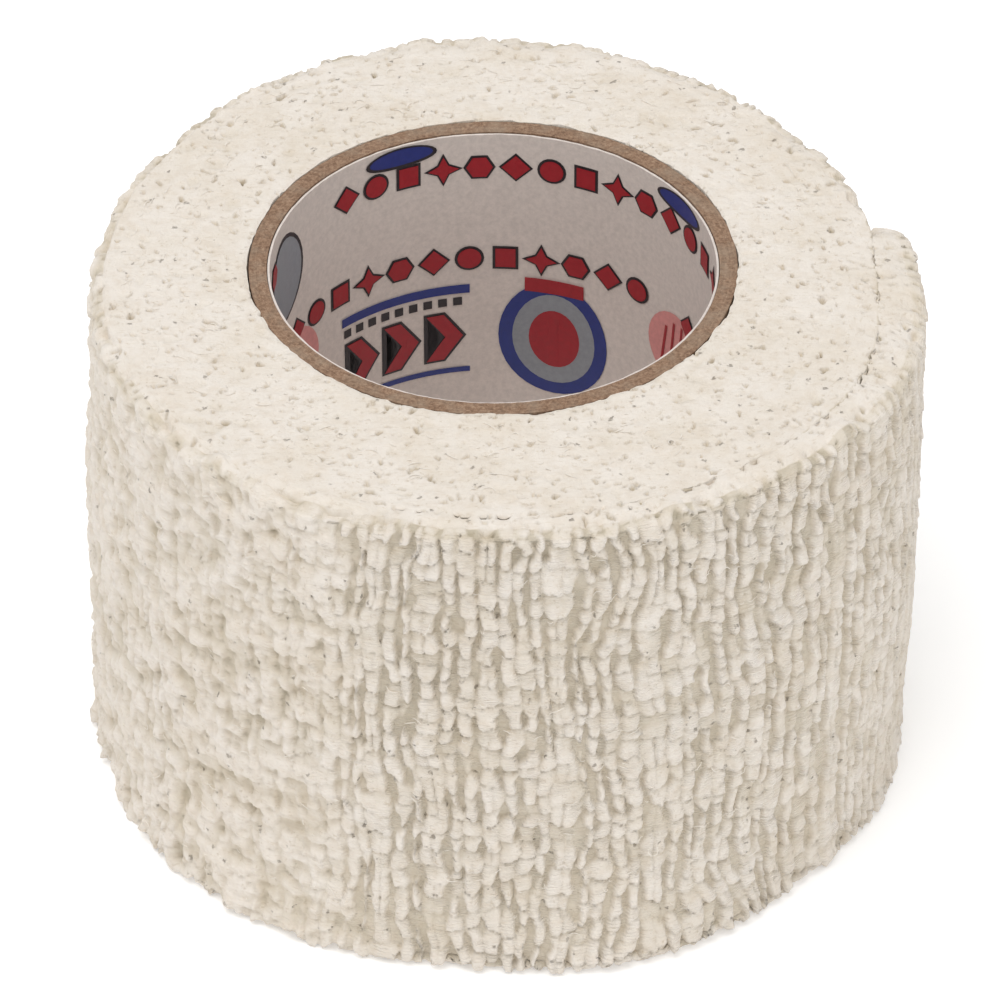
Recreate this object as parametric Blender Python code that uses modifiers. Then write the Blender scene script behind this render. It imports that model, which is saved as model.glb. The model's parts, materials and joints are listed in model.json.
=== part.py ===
"""Roll of crinkled cotton stretch tape for wrapping hands, on a paper core.

The roll stands on one flat end with its core's axis upright. Every layer is a strip
standing on edge along a plan path, which Solidify thickens away from the core. The tape
is one long strip: it starts on the core and winds outwards, anticlockwise seen from
above, to a free end that peels off about an upright line. The tight turns on the core
are stuck together by their adhesive, so they are one solid. Outside them the tape is
wound a length at a time.

A place along the tape is an angle in degrees, the winding angle. It is 0 one turn before
the free end, FULL_TURN at the free end, and below 0 on the turns wound underneath.
Lengths are in metres.
"""
import math

import bmesh
import bpy

# Sizes across the tape and the core.
TAPE_WIDTH = 0.0381
CORE_OUTER_RADIUS = 0.01668
CORE_PLY_THICKNESS = 0.00036
CORE_PLY_GAP = 0.00005
CORE_PLIES = ("core_ply_inner", "core_ply_middle", "core_ply_outer")
LINER_THICKNESS = 0.00015
BUTT_SEAM = 0.0003

# How far each kind of layer stops short of the tape's edges.
CORE_INSET = 0.00015
LINER_INSET = 0.00025
ADHESIVE_INSET = 0.0003

# The winding.
FULL_TURN = 360.0
TIGHT_TURNS = 21
TIGHT_GAP = 0.000045
START_GAP = 0.00017
LOOSE_THICKNESS = 0.0019
LOOSE_GAP = 0.0002
FREE_END_AZIMUTH = 9.0
BODY_RADIUS_MIN = 0.0242
BODY_RISE = 0.0040
BODY_RISE_ANGLE = 330.0
BODY_DIP = BODY_RISE - LOOSE_THICKNESS - LOOSE_GAP
BODY_DIP_START = 318.0
BODY_DIP_ANGLE = 36.0

# The free end stands a little off the roll and thins towards its tip.
PEEL_ANGLE = 315.0
LIFT = 0.0007
LIFT_START = 300.0
LIFT_ANGLE = 45.0
TIP_THINNING = 0.0006
TIP_ANGLE = 8.0
JOINT_GAP = 0.0003
LOOSENING_TURN_END = -18.0
TIGHT_TURNS_END = LOOSENING_TURN_END - FULL_TURN

# The adhesive under the two outer lengths of tape.
ADHESIVE_THICKNESS = 0.00012
ADHESIVE_GAP = 0.00004
ADHESIVE_END_MARGIN = 0.8

# Facets.
WOUND_STEP = 9.0
FINE_STEP = 4.5
SMOOTH_ANGLE = math.radians(30.0)

TIGHT_THICKNESS = (
    BODY_RADIUS_MIN - CORE_OUTER_RADIUS - START_GAP - TIGHT_TURNS * TIGHT_GAP
) / (TIGHT_TURNS + 1)
START_RADIUS = CORE_OUTER_RADIUS + START_GAP + TIGHT_THICKNESS
WINDING_START = -(TIGHT_TURNS + 1) * FULL_TURN


def ease(share):
    """Smooth step from 0 to 1 as share goes from 0 to 1."""
    share = min(max(share, 0.0), 1.0)
    return share * share * (3.0 - 2.0 * share)


def body_radius(angle):
    """Outer radius of the wound body under the outermost turn, angle from 0 to FULL_TURN."""
    rise = BODY_RISE * ease(angle / BODY_RISE_ANGLE)
    dip = BODY_DIP * ease((angle - BODY_DIP_START) / BODY_DIP_ANGLE)
    return BODY_RADIUS_MIN + rise - dip


def thickness(angle):
    """Thickness of the tape: tight inside, loosening over one turn, thinner at the tip."""
    loosening = ease((angle + FULL_TURN) / FULL_TURN)
    swell = (LOOSE_THICKNESS - TIGHT_THICKNESS) * loosening
    thinning = TIP_THINNING * ease((angle - FULL_TURN + TIP_ANGLE) / TIP_ANGLE)
    return TIGHT_THICKNESS + swell - thinning


def gap_below(angle):
    """Gap between a length of tape and the one wound under it."""
    loosening = min(max((angle + FULL_TURN) / FULL_TURN, 0.0), 1.0)
    lift = LIFT * ease((angle - LIFT_START) / LIFT_ANGLE)
    return TIGHT_GAP + (LOOSE_GAP - TIGHT_GAP) * loosening + lift


def tight_outer_radius(angle):
    """Outer radius of the tight turns, which fill the space down to the core evenly."""
    place = angle % FULL_TURN
    above = place - FULL_TURN
    ceiling = body_radius(place) - thickness(above) - gap_below(above)
    first_share = 1.0 - (FULL_TURN - place) / (FULL_TURN * TIGHT_TURNS)
    full = START_RADIUS + (ceiling - START_RADIUS) / first_share
    share = (angle - WINDING_START) / (FULL_TURN * TIGHT_TURNS)
    return START_RADIUS + (full - START_RADIUS) * share


def first_turn_radius(angle):
    """Radius of the inner face of the turn that lies on the core."""
    return CORE_OUTER_RADIUS + START_GAP


def inner_radius(angle):
    """Radius of the tape's inner face at a winding angle."""
    if angle >= 0.0:
        return body_radius(angle) + gap_below(angle)
    if angle >= -FULL_TURN:
        return body_radius(angle + FULL_TURN) - thickness(angle)
    return tight_outer_radius(angle) - thickness(angle)


def outer_radius(angle):
    """Radius of the tape's outer face at a winding angle."""
    return inner_radius(angle) + thickness(angle)


def adhesive_radius(angle):
    """Radius of the inner face of the adhesive under the tape."""
    return inner_radius(angle) - ADHESIVE_GAP - ADHESIVE_THICKNESS


def corner(radius_at, angle):
    """Plan point of a path at a winding angle."""
    azimuth = math.radians(angle + FREE_END_AZIMUTH)
    radius = radius_at(angle)
    return radius * math.cos(azimuth), radius * math.sin(azimuth)


def facet_point(radius_at, angle, step):
    """Plan point on the straight facet between the two corners next to an angle."""
    low = math.floor(angle / step) * step
    share = (angle - low) / step
    x0, y0 = corner(radius_at, low)
    x1, y1 = corner(radius_at, low + step)
    return x0 + (x1 - x0) * share, y0 + (y1 - y0) * share


def path_angles(start, stop, step):
    """Angles of a path's points: its two ends and every facet corner between them."""
    first = math.floor(start / step) + 1
    last = math.ceil(stop / step) - 1
    corners = [step * index for index in range(first, last + 1)]
    return [start] + corners + [stop]


def gap_angle(length, angle):
    """Angle that a length takes up on the tape's outer face."""
    return math.degrees(length / outer_radius(angle))


def material(name, colour, roughness):
    """Principled material of one sub-part."""
    made = bpy.data.materials.new(name)
    made.use_nodes = True
    shader = made.node_tree.nodes["Principled BSDF"]
    shader.inputs["Base Color"].default_value = (*colour, 1.0)
    shader.inputs["Roughness"].default_value = roughness
    shader.inputs["Metallic"].default_value = 0.0
    made.diffuse_color = (*colour, 1.0)
    return made


def bent_grid(name, first_edge, second_edge):
    """Open surface one face wide, its long edges bent along two lists of points.

    It faces away from the core if the lists run anticlockwise, the first below the second.
    """
    spans = len(first_edge) - 1
    mesh = bpy.data.meshes.new(name)
    bm = bmesh.new()
    bmesh.ops.create_grid(bm, x_segments=spans, y_segments=1, size=1.0)
    columns = []
    for vertex in bm.verts:
        column = round((vertex.co.x + 1.0) / 2.0 * spans)
        edge = first_edge if vertex.co.y < 0.0 else second_edge
        vertex.co = edge[column]
        columns.append(column)
    bm.to_mesh(mesh)
    bm.free()
    return mesh, columns


def add_piece(name, mesh, finish):
    """Object of one sub-part, on the roll's axis."""
    mesh.materials.append(finish)
    mesh.shade_smooth()
    mesh.set_sharp_from_angle(angle=SMOOTH_ANGLE)
    piece = bpy.data.objects.new(name, mesh)
    roll.objects.link(piece)
    piece.parent = roll_axis
    return piece


def layer(name, points, depths, inset, finish):
    """Closed strip: an upright surface along points, thickened outwards by each depth."""
    lower = [(x, y, inset) for x, y in points]
    upper = [(x, y, TAPE_WIDTH - inset) for x, y in points]
    mesh, columns = bent_grid(name, lower, upper)
    strip = add_piece(name, mesh, finish)
    greatest = max(depths)
    group = strip.vertex_groups.new(name="depth")
    for index, column in enumerate(columns):
        group.add([index], depths[column] / greatest, "REPLACE")
    thicken = strip.modifiers.new("thickness", "SOLIDIFY")
    thicken.thickness = greatest
    thicken.offset = 1.0
    thicken.use_even_offset = True
    thicken.vertex_group = group.name
    return strip


def tube_layer(name, radius, depth, inset, seam_azimuth, finish):
    """Sheet of card or paper bent once round, with an open butt seam."""
    seam = math.degrees(BUTT_SEAM / radius)
    start = seam_azimuth - FREE_END_AZIMUTH + seam / 2.0
    angles = path_angles(start, start + FULL_TURN - seam, FINE_STEP)
    points = [facet_point(lambda angle: radius, angle, FINE_STEP) for angle in angles]
    return layer(name, points, [depth] * len(points), inset, finish)


def tape_layer(name, start, stop, step, finish):
    """Length of the tape itself, between two winding angles."""
    angles = path_angles(start, stop, step)
    points = [facet_point(inner_radius, angle, step) for angle in angles]
    return layer(name, points, [thickness(angle) for angle in angles], 0.0, finish)


def tight_turns_block(name, start, stop, finish):
    """The tight turns as one solid: a flat plan surface thickened up by the tape's width."""
    angles = path_angles(start, stop, WOUND_STEP)
    outside = [(*facet_point(tight_outer_radius, angle, WOUND_STEP), 0.0) for angle in angles]
    inside = [(*facet_point(first_turn_radius, angle, WOUND_STEP), 0.0) for angle in angles]
    mesh, columns = bent_grid(name, outside, inside)
    block = add_piece(name, mesh, finish)
    thicken = block.modifiers.new("width", "SOLIDIFY")
    thicken.thickness = TAPE_WIDTH
    thicken.offset = 1.0
    return block


def adhesive_layer(name, start, stop, finish):
    """Film of adhesive on the inner face of a length of tape."""
    angles = path_angles(start, stop, FINE_STEP)
    points = [facet_point(adhesive_radius, angle, FINE_STEP) for angle in angles]
    depths = [ADHESIVE_THICKNESS] * len(points)
    return layer(name, points, depths, ADHESIVE_INSET, finish)


def plan_centre():
    """Middle of the roll's plan box, from the core's axis."""
    angles = path_angles(LOOSENING_TURN_END, FULL_TURN, FINE_STEP)
    outline = [facet_point(outer_radius, angle, FINE_STEP) for angle in angles]
    across = [x for x, y in outline]
    along = [y for x, y in outline]
    return (min(across) + max(across)) / 2.0, (min(along) + max(along)) / 2.0


def upright_empty(name, x, y):
    """Empty on an upright axis."""
    empty = bpy.data.objects.new(name, None)
    empty.empty_display_size = TAPE_WIDTH
    empty.location = (x, y, 0.0)
    roll.objects.link(empty)
    return empty


def make_core():
    """Paperboard core of three plies, and the printed paper lining it."""
    radius = CORE_OUTER_RADIUS - CORE_PLY_THICKNESS
    card_colour = (0.30, 0.23, 0.18)
    for index, name in enumerate(reversed(CORE_PLIES)):
        seam_azimuth = index * FULL_TURN / len(CORE_PLIES)
        finish = material(name, card_colour, 0.85)
        tube_layer(name, radius, CORE_PLY_THICKNESS, CORE_INSET, seam_azimuth, finish)
        radius -= CORE_PLY_THICKNESS + CORE_PLY_GAP
    radius += CORE_PLY_THICKNESS - LINER_THICKNESS
    paper = material("printed_liner", (0.62, 0.61, 0.60), 0.6)
    front = -FULL_TURN / 4.0
    tube_layer("printed_liner", radius, LINER_THICKNESS, LINER_INSET, front, paper)


def make_tape():
    """The tape's turns, its outermost turn and its free end, which hangs on peel_axis."""
    cotton_colour = (0.80, 0.76, 0.68)
    adhesive_colour = (0.74, 0.68, 0.55)
    first_seam = gap_angle(JOINT_GAP, TIGHT_TURNS_END) / 2.0
    second_seam = gap_angle(JOINT_GAP, LOOSENING_TURN_END) / 2.0
    hinge = gap_angle(JOINT_GAP, PEEL_ANGLE) / 2.0
    cotton = material("tape_tight_turns", cotton_colour, 0.95)
    start = TIGHT_TURNS_END - FULL_TURN + first_seam
    tight_turns_block("tape_tight_turns", start, TIGHT_TURNS_END - first_seam, cotton)
    cotton = material("tape_loosening_turn", cotton_colour, 0.95)
    start = TIGHT_TURNS_END + first_seam
    tape_layer("tape_loosening_turn", start, LOOSENING_TURN_END - second_seam, WOUND_STEP, cotton)
    cotton = material("tape_outer_turn", cotton_colour, 0.95)
    start = LOOSENING_TURN_END + second_seam
    tape_layer("tape_outer_turn", start, PEEL_ANGLE - hinge, FINE_STEP, cotton)
    film = material("tape_outer_turn_adhesive", adhesive_colour, 0.45)
    stop = PEEL_ANGLE - ADHESIVE_END_MARGIN
    adhesive_layer("tape_outer_turn_adhesive", 0.0, stop, film)
    cotton = material("tape_free_end", cotton_colour, 0.95)
    free_end = tape_layer("tape_free_end", PEEL_ANGLE + hinge, FULL_TURN, FINE_STEP, cotton)
    film = material("tape_free_end_adhesive", adhesive_colour, 0.45)
    start = PEEL_ANGLE + ADHESIVE_END_MARGIN
    stop = FULL_TURN - ADHESIVE_END_MARGIN
    free_end_film = adhesive_layer("tape_free_end_adhesive", start, stop, film)
    for piece in (free_end, free_end_film):
        piece.parent = peel_axis
        piece.location = -peel_axis.location


for old in list(bpy.data.objects):
    bpy.data.objects.remove(old, do_unlink=True)

roll = bpy.data.collections.new("stretch_tape_roll")
bpy.context.scene.collection.children.link(roll)

centre_x, centre_y = plan_centre()
roll_axis = upright_empty("roll_axis", -centre_x, -centre_y)
peel_axis = upright_empty("peel_axis", *facet_point(outer_radius, PEEL_ANGLE, FINE_STEP))
peel_axis.parent = roll_axis

make_core()
make_tape()
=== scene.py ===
"""Looks of the roll of stretch hand tape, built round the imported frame.

Shapes are worked out in millimetres about the core's axis and stored in metres in the
frame. The tape's layers are grids: columns run along the tape by winding angle in degrees,
rows run round the layer's cross-section, and each point is moved by the cloth's relief.
"""
import json
import math

import bmesh
import bpy
import numpy as np
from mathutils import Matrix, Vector

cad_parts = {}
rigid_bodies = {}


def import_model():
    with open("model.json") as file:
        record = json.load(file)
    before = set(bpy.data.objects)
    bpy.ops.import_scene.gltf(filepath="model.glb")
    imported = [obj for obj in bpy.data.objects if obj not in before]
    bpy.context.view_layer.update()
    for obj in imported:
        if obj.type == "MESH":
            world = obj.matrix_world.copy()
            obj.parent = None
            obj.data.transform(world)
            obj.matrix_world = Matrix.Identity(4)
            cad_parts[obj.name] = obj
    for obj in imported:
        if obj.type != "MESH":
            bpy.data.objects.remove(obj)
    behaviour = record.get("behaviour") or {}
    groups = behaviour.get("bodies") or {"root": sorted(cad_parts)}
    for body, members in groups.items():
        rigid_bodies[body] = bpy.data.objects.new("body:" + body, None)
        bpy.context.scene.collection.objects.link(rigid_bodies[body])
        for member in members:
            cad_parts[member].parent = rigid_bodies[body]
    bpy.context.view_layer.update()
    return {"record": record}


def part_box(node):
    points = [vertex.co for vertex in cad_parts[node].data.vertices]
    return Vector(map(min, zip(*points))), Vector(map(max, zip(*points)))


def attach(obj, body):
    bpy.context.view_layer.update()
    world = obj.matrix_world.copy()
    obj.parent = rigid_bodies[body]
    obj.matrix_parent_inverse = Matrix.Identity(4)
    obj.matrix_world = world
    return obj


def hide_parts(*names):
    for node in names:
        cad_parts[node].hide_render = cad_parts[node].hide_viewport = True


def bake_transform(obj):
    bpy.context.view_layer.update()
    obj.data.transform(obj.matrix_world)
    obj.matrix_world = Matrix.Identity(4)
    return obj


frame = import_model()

MM = 0.001
JOINT = frame["record"]["behaviour"]["joints"][0]
ROLL, FREE_END = JOINT["parent"], JOINT["child"]

# The roll's layout, in millimetres and degrees, as the CAD model winds it. Winding angle 0
# is where the outermost turn comes out from under the tape's free end.
FULL_TURN = 360.0
FREE_END_AZIMUTH = 9.0
PEEL_ANGLE = 315.0
BODY_RADIUS = 24.2
BODY_RISE = 4.0
BODY_DIP = 1.9
CORE_RADIUS = 16.68
LOOSE_THICKNESS = 1.9
LOOSE_GAP = 0.2
LIFT = 0.7
UNDER_ANGLE = 81.0
LINER_RADIUS = 15.30
LINER_THICKNESS = 0.15
PLY_THICKNESS = 0.36
PLY_GAP = 0.05
PLY_RADII = {"core_ply_inner": 15.50, "core_ply_middle": 15.91, "core_ply_outer": 16.32}

middle_low, middle_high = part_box("core_ply_middle")
AXIS_X = (middle_low.x + middle_high.x) / 2.0
AXIS_Y = (middle_low.y + middle_high.y) / 2.0
tape_low, tape_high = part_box("tape_outer_turn")
WIDTH = (tape_high.z - tape_low.z) / MM
CORE_TOP = middle_high.z / MM
CORE_FOOT = middle_low.z / MM

# Where the shown tape differs from the CAD's smooth strip: its end is thinner and reaches a
# little further, and a crack shows beside its upper edge.
TIP_REACH = 2.5
TAPE_END = FULL_TURN + TIP_REACH
TIP_THINNING = 0.60
CRACK_WIDTH = 0.13
SHOWN_LIFT = 0.14

# Relief of the crinkled cloth.
COLUMN_PITCH = 1.20
BEAD_PITCH = 1.55
CREPE_DEPTH = 0.76
RIM_RADIUS = 1.0
COLUMN_ANGLE = 0.225
WALL_STEP = 0.18
ALONG_PER_DEGREE = 0.5
# How far the pits on the flat ends darken the cloth's colour: painted shade.
PIT_SHADE = 1.8
LIP_INSET = (0.20, 0.36)


# ---------------------------------------------------------------- noise and relief

tables = {}


def random_table(seed):
    """A fixed 256 x 256 table of numbers from 0 to 1."""
    if seed not in tables:
        tables[seed] = np.random.default_rng(seed).random((256, 256))
    return tables[seed]


def hashed(i, j, seed):
    """A fixed number from 0 to 1 for each whole-number cell."""
    return random_table(seed)[i.astype(int) & 255, j.astype(int) & 255]


def ease(share):
    """Smooth step from 0 to 1."""
    share = np.clip(share, 0.0, 1.0)
    return share * share * (3.0 - 2.0 * share)


def noise(x, y, seed, around=256):
    """Smooth noise from -1 to 1 with features one unit across, repeating in x."""
    grid = random_table(seed)
    x0, y0 = np.floor(x), np.floor(y)
    fx, fy = ease(x - x0), ease(y - y0)
    i, j = x0.astype(int) % around, y0.astype(int) & 255
    i1, j1 = (i + 1) % around, (j + 1) & 255
    low = grid[i, j] * (1.0 - fx) + grid[i1, j] * fx
    high = grid[i, j1] * (1.0 - fx) + grid[i1, j1] * fx
    return (low * (1.0 - fy) + high * fy) * 2.0 - 1.0


def column_edge(i, v):
    """Where the boundary on the left of column i runs, in columns."""
    own = 0.52 * (hashed(i, i * 0, 11) - 0.5)
    return i + own + 0.13 * noise(i * 7.3, v / 1.6, 12)


def softness(u):
    """1 on the side of the roll where the beads are pressed flat, 0 elsewhere."""
    return ease((126.0 - u) / 10.0) * ease((u - 62.0) / 14.0)


def crepe(u, v):
    """Height of the crinkled cloth at u along and v across the tape: 0 low, 1 on the crowns.

    Flat-faced beads stand in wandering columns. The gaps between columns are flat-floored
    slots in places and closed in others, a few beads are sunk, and the notches between the
    beads of one column are shallow, each bead standing proudest at its lower edge.
    """
    x = u + 0.62 * noise(u / 4.6, v / 6.5, 1) + 0.30 * noise(u / 1.9, v / 2.4, 2)
    x = x + 0.075 * noise(u / 0.42, v / 0.36, 4)
    y = v + 0.35 * noise(u / 1.6, v / 2.0, 3) + 0.07 * noise(u / 0.40, v / 0.45, 9)
    y = y + 0.20 * noise(u / 0.55, v / 1.1, 28)
    gx = x / COLUMN_PITCH
    i = np.floor(gx)
    i = np.where(gx < column_edge(i, y), i - 1, i)
    i = np.where(gx >= column_edge(i + 1, y), i + 1, i)
    left, right = gx - column_edge(i, y), column_edge(i + 1, y) - gx
    pitch = BEAD_PITCH * (0.78 + 0.55 * hashed(i, i * 0, 13))
    gy = y / pitch + 9.0 * hashed(i, i * 0, 14)
    j = np.floor(gy)
    start = j + 0.35 * (hashed(i, j, 15) - 0.5)
    j = np.where(gy < start, j - 1, j)
    after = j + 1 + 0.35 * (hashed(i, j + 1, 15) - 0.5)
    j = np.where(gy >= after, j + 1, j)
    below = gy - j - 0.35 * (hashed(i, j, 15) - 0.5)
    above = j + 1 + 0.35 * (hashed(i, j + 1, 15) - 0.5) - gy
    corner = 0.10 * (1.0 - ease(np.minimum(below, above) / 0.20))
    gap = np.zeros_like(gx)
    for near, edge in ((left, i), (right, i + 1)):
        width = 0.035 + 0.250 * noise(edge * 5.1, y / 1.4, 16) + 0.07 * noise(edge * 9.7, y / 0.6, 17)
        opening = 0.24 + 0.76 * ease((width + 0.09) / 0.12)
        side = np.maximum(width, 0.015) + corner
        gap = np.maximum(gap, opening * (1.0 - ease((near - side) / 0.15)))
    notch = (1.0 - ease(np.minimum(below, above) / 0.11)) * (0.12 + 0.26 * hashed(i, j, 18))
    sunk = 0.45 * (hashed(i, j, 19) > 0.90)
    tilt_x = (hashed(i, j, 20) - 0.5) * (left - right) * 0.32
    tilt_y = (0.10 + 0.22 * (hashed(i, j, 21) - 0.3)) * (above - below)
    crown = 0.86 + 0.16 * (hashed(i, j, 22) - 0.5) + tilt_x + tilt_y - 0.10 * (left - right) ** 2
    crown += 0.10 * noise(u / 0.85, v / 0.75, 8) + 0.05 * noise(u / 0.33, v / 0.30, 23)
    wide = ease((left + right - 1.05) / 0.30)
    crown -= 0.34 * hashed(i, j, 29) * wide * (1.0 - ease(np.abs(left - right - 0.2 * tilt_x) / 0.26))
    crown = crown * (1.0 - sunk) - notch * (1.0 - 0.45 * wide)
    floor = 0.20 + 0.07 * noise(u / 0.9, v / 0.9, 24)
    height = crown + (np.minimum(floor, crown) - crown) * np.clip(gap, 0.0, 1.0)
    soft = softness(u)
    calm = 0.50 * soft + 0.14 * noise(u / 17.0, v / 13.0, 6) + 0.14 + 0.30 * ease((u - 150.0) / 20.0)
    height = height + (0.80 - height) * calm
    height += 0.05 * noise(u / 4.0, v / 5.0, 7)
    height += soft * (0.38 * noise(u / 1.35, v / 1.05, 26) + 0.22 * noise(u / 0.70, v / 0.42, 27))
    return np.clip(height, 0.0, 1.12)


def pits(x, y, cell, share, small, large, seed):
    """Scattered irregular pits: 0 off a pit, up to 1 at the bottom of a large one."""
    x = x + 0.22 * noise(x / 0.36, y / 0.36, seed + 5)
    y = y + 0.22 * noise(x / 0.36, y / 0.36, seed + 6)
    gx, gy = x / cell, y / cell
    deepest = np.zeros_like(x)
    for di in (-1, 0, 1):
        for dj in (-1, 0, 1):
            i, j = np.floor(gx) + di, np.floor(gy) + dj
            dx = (gx - i - hashed(i, j, seed)) * cell
            dy = (gy - j - hashed(i, j, seed + 1)) * cell
            size = hashed(i, j, seed + 2)
            radius = small + (large - small) * size ** 2
            turn = hashed(i, j, seed + 3) * math.pi
            along = dx * np.cos(turn) + dy * np.sin(turn)
            across = dy * np.cos(turn) - dx * np.sin(turn)
            far = np.hypot(along / 1.7, across) / radius
            depth = (0.45 + 0.55 * size) * ease((1.3 - far) / 0.75)
            depth *= hashed(i, j, seed + 4) < share
            deepest = np.maximum(deepest, depth)
    return deepest


def end_relief(x, y):
    """Height in millimetres of the tape's packed edges on the roll's flat ends."""
    radius = np.hypot(x, y)
    turn = np.arctan2(y, x) / (2.0 * math.pi)
    streaks = noise(turn * 110.0, radius * 2.5, 31, 110)
    streaks += 0.6 * noise(turn * 220.0, radius * 4.5, 32, 220)
    height = 0.020 * streaks + 0.035 * noise(x / 0.8, y / 0.8, 33)
    height += 0.045 * noise(x / 3.6, y / 3.6, 34) + 0.012 * noise(x / 0.3, y / 0.3, 35)
    height -= 0.30 * pits(x, y, 0.80, 0.42, 0.06, 0.14, 40)
    height -= 0.09 * pits(x, y, 1.5, 0.50, 0.22, 0.50, 50)
    height -= 0.46 * pits(x, y, 1.8, 0.50, 0.09, 0.20, 70)
    return height - 0.03


# ---------------------------------------------------------------- the roll's outlines


def body_radius(angle):
    """Outer radius of the wound body under the outermost turn."""
    rise = BODY_RISE * ease(angle / 330.0)
    return BODY_RADIUS + rise - BODY_DIP * ease((angle - 318.0) / 36.0)


def tape_inner(angle):
    """Inner radius of the outer turn and of the free end, from 0 to FULL_TURN."""
    return body_radius(angle) + LOOSE_GAP + LIFT * ease((angle - 300.0) / 45.0)


def shown_inner(angle):
    """Inner radius of the shown cloth, which fills most of the lift that the CAD leaves."""
    return body_radius(angle) + LOOSE_GAP + SHOWN_LIFT * ease((angle - 300.0) / 45.0)


def wander(angle):
    """How far the line between the outermost turn and the rest strays from the winding."""
    stray = 0.09 * noise(angle / 1.5, angle * 0.0, 63) + 0.05 * noise(angle / 0.6, angle * 0.0, 64) - 0.11
    return stray * ease((angle - 225.0) / 20.0) * (1.0 - ease((angle - 350.0) / 8.0))


def crack(angle):
    """Width of the crack between the outermost turn's upper edge and the rest."""
    spots = noise(angle / 1.1, angle * 0.0, 61) + 0.5 * noise(angle / 0.5, angle * 0.0, 62)
    opened = ease((angle - 236.0) / 30.0) * (1.0 - ease((angle - 352.0) / 6.0))
    return CRACK_WIDTH * opened * ease((spots - 0.12) / 0.45)


def strip_outer(angle):
    """Outer radius of the outer strip, which starts hidden one layer down."""
    under = body_radius(angle + FULL_TURN) + wander(angle + FULL_TURN)
    thinning = TIP_THINNING * ease((angle - TAPE_END + 8.0) / 8.0)
    over = tape_inner(angle) + LOOSE_THICKNESS - thinning
    return np.where(angle < 0.0, under, over)


def under_layer(angle):
    """Thickness shown on the flat ends by the strip before it becomes the outer turn."""
    return (LOOSE_THICKNESS + LOOSE_GAP) * ease((angle + UNDER_ANGLE) / 40.0)


def strip_edge_inner(angle):
    """Radius where the strip's flat upper edge meets the wound body."""
    under = body_radius(angle + FULL_TURN) + wander(angle + FULL_TURN) - under_layer(angle)
    return np.where(angle < 0.0, under, body_radius(angle) + wander(angle) + crack(angle))


def body_edge(angle):
    """Radius of the wound body's outline on the flat ends, from 0 to FULL_TURN."""
    hidden = strip_edge_inner(np.minimum(angle - FULL_TURN, -1e-6))
    return np.where(angle > FULL_TURN - UNDER_ANGLE, hidden, body_radius(angle) + wander(angle))


def near_side(azimuth, centre, reach):
    """1 at one side of the roll, 0 from so many degrees away."""
    return ease(1.0 - np.abs((azimuth - centre + 180.0) % FULL_TURN - 180.0) / reach)


def lean(azimuth, z, angle):
    """How far the wall leans out of upright, in millimetres."""
    upper = ease((z - 18.0) / 20.0)
    left = -0.80 * near_side(azimuth, 172.0, 75.0) * upper
    back = 0.80 * near_side(azimuth, 90.0, 60.0)
    right = 0.45 * near_side(azimuth, -22.0, 50.0) + 0.55 * near_side(azimuth, 23.0, 26.0)
    foot = 0.50 * near_side(azimuth, -90.0, 130.0) * ease((10.0 - z) / 10.0)
    foot += 1.0 * near_side(azimuth, -69.0, 28.0) * ease((8.0 - z) / 8.0)
    foot += 0.55 * near_side(azimuth, -127.0, 34.0) * ease((8.0 - z) / 8.0)
    foot -= 0.85 * near_side(azimuth, -26.0, 46.0) * ease((16.0 - z) / 16.0)
    tip = -0.20 * ease((angle - 346.0) / 14.0) * ease((z - 33.5) / 4.6)
    return (left + back + right + foot) * ease(angle / 12.0) + tip


# ---------------------------------------------------------------- mesh building


def tip_rounding(angle):
    """How far the corners of the tape's end are rounded off."""
    return 0.9 * ease((angle - TAPE_END + 8.0) / 8.0) ** 2


def to_frame(points):
    """Points in millimetres about the core's axis, as metres in the frame."""
    return points * MM + np.array((AXIS_X, AXIS_Y, 0.0))


def unwrap(mesh, columns, rows, quads, caps):
    """Lays a grid's faces out flat in its UV map, and its end caps in one corner."""
    face = np.arange(quads)
    column, row = face // rows, face % rows
    across = np.stack((column, column + 1, column + 1, column), -1) / columns
    along = np.stack((row, row, row + 1, row + 1), -1) / rows
    turn = np.linspace(0.0, 2.0 * math.pi, rows, endpoint=False)
    corner = np.stack((0.99 + 0.008 * np.cos(turn), 0.99 + 0.008 * np.sin(turn)), -1)
    flat = [np.stack((across, along), -1).reshape(-1, 2) * 0.97] + [corner] * caps
    layer = mesh.uv_layers.new(name="UVMap")
    layer.uv.foreach_set("vector", np.concatenate(flat).astype(np.float32).ravel())


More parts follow.
